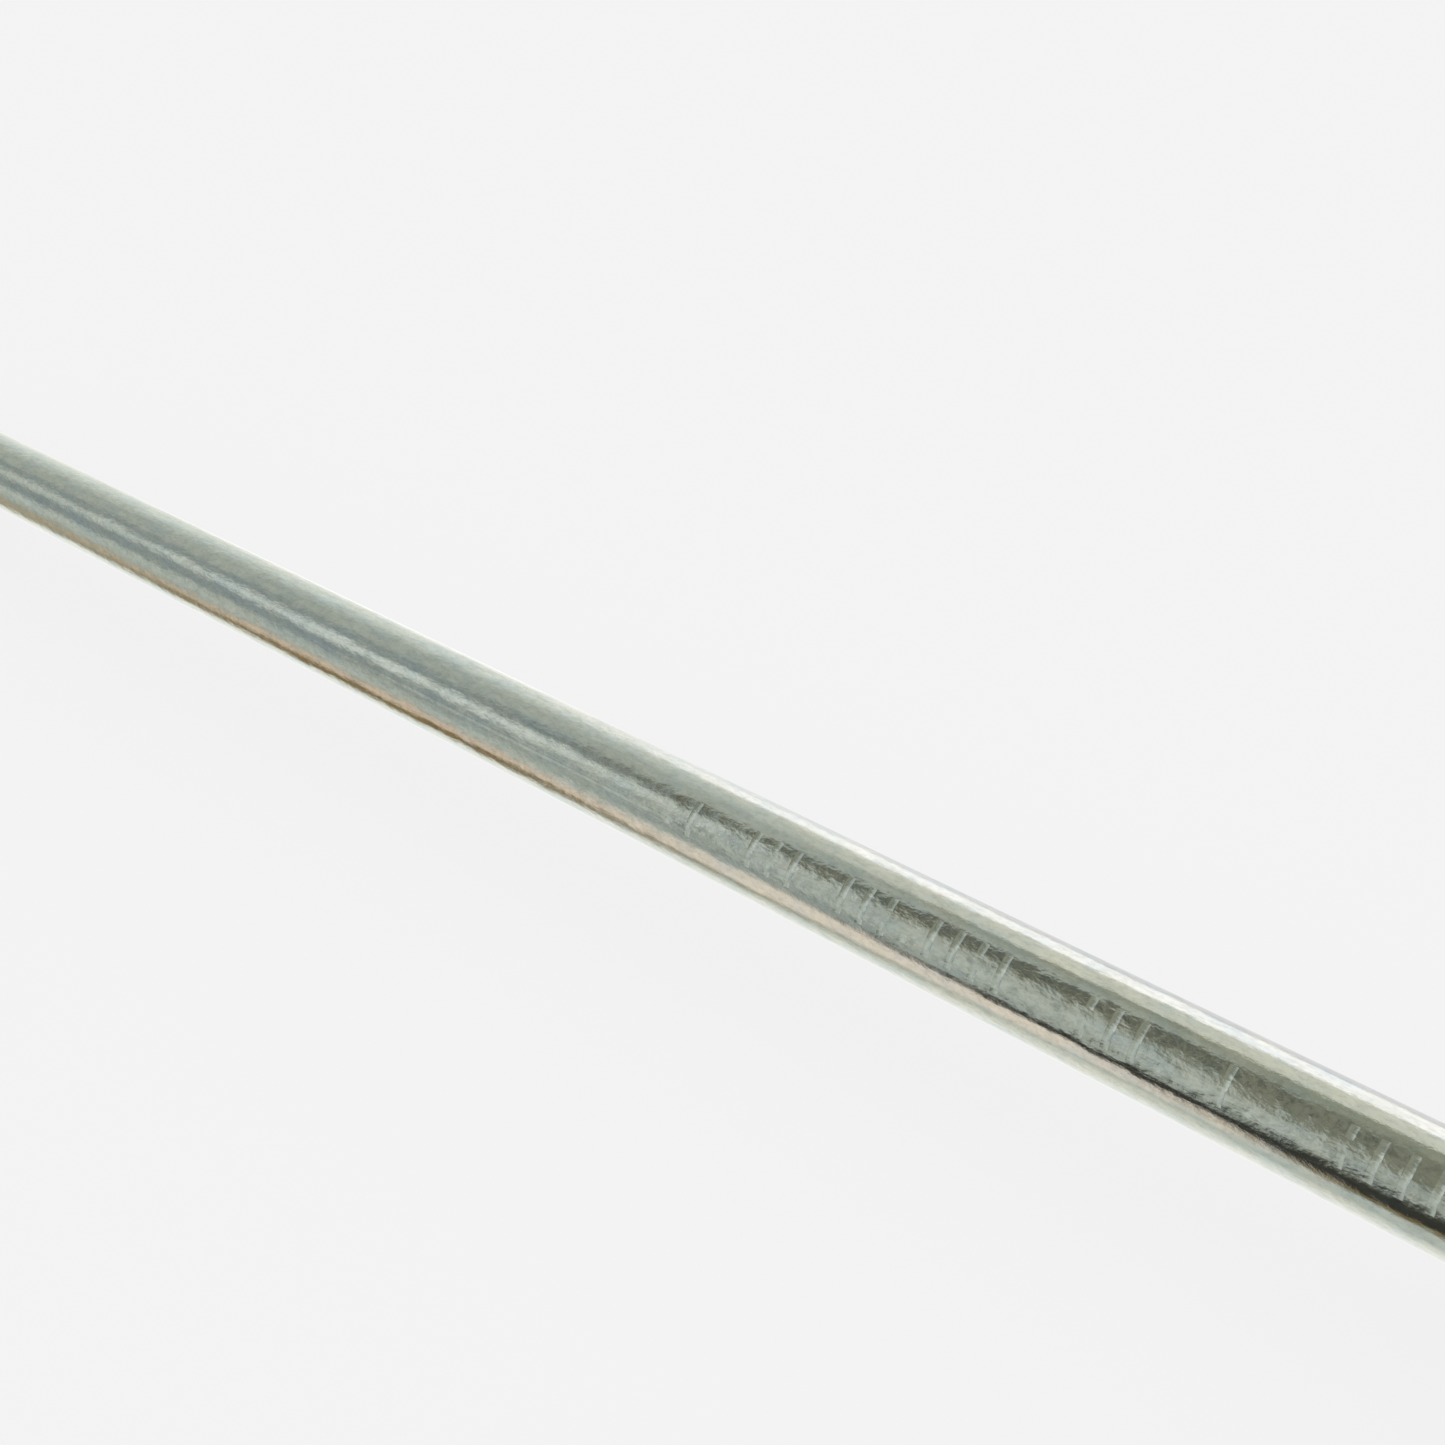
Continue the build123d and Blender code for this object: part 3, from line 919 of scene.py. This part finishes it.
camera_turn = math.radians(42.57)
camera_tilt = math.radians(29.81)
camera_place = Vector((0.0397, -0.05115, axis_height + 0.04498))
view_angle = math.atan2(camera_place.z - axis_height, -camera_place.y)

lens = bpy.data.cameras.new("camera")
lens.lens = 49.83
lens.sensor_width = 36
lens.clip_start = 0.001
camera = bpy.data.objects.new("camera", lens)
bpy.context.scene.collection.objects.link(camera)
camera.location = camera_place
camera.rotation_euler = (math.pi / 2 - camera_tilt, 0, camera_turn)
bpy.context.scene.camera = camera

studio = bpy.data.worlds.new("studio")
bpy.context.scene.world = studio
studio.use_nodes = True
studio.cycles.sampling_method = "NONE"
tree = studio.node_tree
direction = tree.nodes.new("ShaderNodeTexCoord").outputs["Generated"]
toward = node(
    tree, "VectorMath", {0: direction, 1: (0, -math.cos(view_angle), math.sin(view_angle))},
    operation="DOT_PRODUCT",
).outputs["Value"]
over = node(
    tree, "VectorMath", {0: direction, 1: (0, math.sin(view_angle), math.cos(view_angle))},
    operation="DOT_PRODUCT",
).outputs["Value"]
turn = maths(tree, "ARCTAN2", over, toward)
across = maths(tree, "SINE", maths(tree, "MULTIPLY", turn, 0.5))
rod_place = maths(tree, "MULTIPLY_ADD", across, 0.5, 0.5)
display_gamma = 2.2
steel_reflects = 0.76


def shown(red, green, blue):
    """The light that makes the rod show this display colour."""
    return tuple(
        (level / 255) ** display_gamma / steel_reflects for level in (red, green, blue)
    )


WHITE = shown(244, 245, 242)
PALE = shown(226, 229, 226)
RIM = shown(204, 205, 205)
MIST = shown(210, 213, 203)
PEARL = shown(192, 201, 194)
SAGE = shown(191, 194, 180)
GLINT = shown(190, 199, 194)
HAZE = shown(170, 177, 168)
STONE = shown(152, 159, 150)
DUSK = shown(130, 139, 136)
MOSS = shown(131, 136, 120)
TAUPE = shown(116, 119, 104)
CHARCOAL = shown(92, 95, 86)
INK = shown(55, 56, 51)
CREAM = shown(205, 198, 184)
SAND = shown(190, 173, 152)
OLIVE = shown(152, 147, 127)
BROWN = shown(116, 101, 70)

# Each wall's stops go across the rod, from its lower edge at -1 to its upper edge at 1.
near_wall = [
    (-1.0, PALE), (-0.89, MIST), (-0.81, HAZE), (-0.69, HAZE), (-0.655, TAUPE), (-0.625, BROWN),
    (-0.6, INK), (-0.47, INK), (-0.4, CHARCOAL), (-0.31, STONE), (-0.12, STONE), (-0.04, TAUPE),
    (0.36, TAUPE), (0.42, MOSS), (0.525, MOSS), (0.55, SAGE), (0.74, SAGE), (0.765, WHITE),
    (0.905, WHITE), (0.92, RIM), (1.0, RIM),
]
bench_wall = [
    (-1.0, PALE), (-0.9, MIST), (-0.81, SAGE), (-0.765, HAZE), (-0.71, CREAM), (-0.59, CREAM),
    (-0.56, INK), (-0.5, INK), (-0.465, STONE), (-0.38, STONE), (-0.2, HAZE), (0.0, STONE),
    (0.1, TAUPE), (0.17, CHARCOAL), (0.33, CHARCOAL), (0.365, STONE), (0.53, MOSS), (0.56, SAGE),
    (0.755, SAGE), (0.785, WHITE), (0.905, WHITE), (0.92, RIM), (1.0, RIM),
]
middle_wall = [
    (-1.0, PALE), (-0.9, MIST), (-0.83, HAZE), (-0.79, OLIVE), (-0.74, CREAM), (-0.57, CREAM),
    (-0.51, STONE), (-0.42, DUSK), (-0.34, STONE), (-0.2, HAZE), (-0.1, STONE), (0.0, HAZE),
    (0.1, STONE), (0.16, TAUPE), (0.22, CHARCOAL), (0.29, TAUPE), (0.35, STONE), (0.5, STONE),
    (0.6, HAZE), (0.78, SAGE), (0.82, WHITE), (0.905, WHITE), (0.925, PALE), (1.0, RIM),
]
far_wall = [
    (-1.0, PALE), (-0.89, MIST), (-0.845, BROWN), (-0.77, BROWN), (-0.73, SAND), (-0.66, SAND),
    (-0.6, STONE), (-0.53, HAZE), (-0.47, STONE), (-0.38, STONE), (-0.32, DUSK), (-0.17, DUSK),
    (-0.08, HAZE), (-0.03, GLINT), (0.03, GLINT), (0.08, HAZE), (0.15, DUSK), (0.27, DUSK),
    (0.36, STONE), (0.55, STONE), (0.66, HAZE), (0.78, PEARL), (0.92, MIST), (1.0, WHITE),
]
end_wall = [
    (-1.0, PALE), (-0.9, MIST), (-0.84, OLIVE), (-0.68, OLIVE), (-0.6, STONE), (-0.5, HAZE),
    (-0.4, HAZE), (-0.33, DUSK), (-0.14, DUSK), (-0.08, STONE), (-0.02, HAZE), (0.03, HAZE),
    (0.1, STONE), (0.15, DUSK), (0.24, DUSK), (0.32, STONE), (0.52, STONE), (0.66, HAZE),
    (0.8, PEARL), (0.93, MIST), (1.0, PALE),
]


def wall(stops):
    return ramp(tree, rod_place, [((stop + 1) / 2, colour) for stop, colour in stops])


sideways = maths(tree, "ABSOLUTE", node(tree, "SeparateXYZ", {0: direction}).outputs["X"])
mirrored = mix(tree, limits(tree, sideways, 0.26, 0.37), wall(near_wall), wall(bench_wall))
mirrored = mix(tree, limits(tree, sideways, 0.42, 0.54), mirrored, wall(middle_wall))
mirrored = mix(tree, limits(tree, sideways, 0.55, 0.67), mirrored, wall(far_wall))
mirrored = mix(tree, limits(tree, sideways, 0.74, 0.82), mirrored, wall(end_wall))
rays = tree.nodes.new("ShaderNodeLightPath")
white_light, backdrop = (1, 1, 1), (0.897, 0.897, 0.897)
plain = mix(tree, rays.outputs["Is Camera Ray"], white_light, backdrop)
seen = mix(tree, rays.outputs["Is Glossy Ray"], plain, mirrored)
tree.links.new(seen, tree.nodes["Background"].inputs["Color"])
bpy.context.scene.view_settings.view_transform = "Standard"
